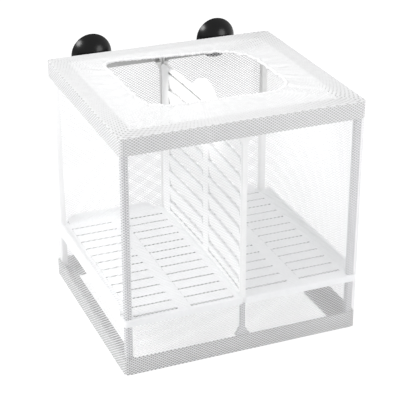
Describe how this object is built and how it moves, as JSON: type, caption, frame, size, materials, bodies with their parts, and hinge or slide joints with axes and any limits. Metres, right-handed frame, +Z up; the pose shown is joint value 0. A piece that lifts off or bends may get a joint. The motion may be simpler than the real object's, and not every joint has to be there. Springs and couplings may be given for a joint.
{
  "type": "fish breeding box",
  "caption": "Net fish breeding box: plastic rims and posts in a mesh bag, slatted floor halves, a louvred divider that lifts, and suction cups at the rear.",
  "frame": {"origin": "centre of the net box's underside, where it rests when stood on a surface", "axes": "+Z up, +Y towards the rear face that carries the suction cups, +X to the right as seen from the front"},
  "size_m": [0.17, 0.1665, 0.1791],
  "materials": {
    "frame_plastic": "satin white",
    "post_plastic": "satin white",
    "tray_plastic": "satin white",
    "divider_plastic": "satin white",
    "net_mesh": "fine white mesh",
    "elastic_band": "white elastic",
    "cup_vinyl": "glossy black"
  },
  "bodies": {
    "box": {"bottom_frame": "frame_plastic", "top_frame": "frame_plastic", "front_left_lower_post": "post_plastic", "front_right_lower_post": "post_plastic", "rear_left_lower_post": "post_plastic", "rear_right_lower_post": "post_plastic", "front_left_upper_post": "post_plastic", "front_right_upper_post": "post_plastic", "rear_left_upper_post": "post_plastic", "rear_right_upper_post": "post_plastic", "front_centre_lower_post": "post_plastic", "rear_centre_lower_post": "post_plastic", "front_centre_upper_post": "post_plastic", "rear_centre_upper_post": "post_plastic", "left_floor_tray": "tray_plastic", "right_floor_tray": "tray_plastic", "net_front": "net_mesh", "net_rear": "net_mesh", "net_left": "net_mesh", "net_right": "net_mesh", "net_bottom": "net_mesh", "net_top": "net_mesh", "opening_elastic": "elastic_band"},
    "divider": {"divider_panel": "divider_plastic"},
    "left_cup": {"left_suction_cup": "cup_vinyl"},
    "right_cup": {"right_suction_cup": "cup_vinyl"}
  },
  "joints": [
    {"name": "divider_lift", "type": "slide", "parent": "box", "child": "divider", "axis": [0, 0, 1], "range_m": [0, 0.0095]},
    {"name": "left_cup_turn", "type": "hinge", "parent": "box", "child": "left_cup", "pos_m": [-0.048, 0.0775, 0.1641], "axis": [0, 1, 0], "continuous": true},
    {"name": "right_cup_turn", "type": "hinge", "parent": "box", "child": "right_cup", "pos_m": [0.048, 0.0775, 0.1641], "axis": [0, 1, 0], "continuous": true}
  ]
}
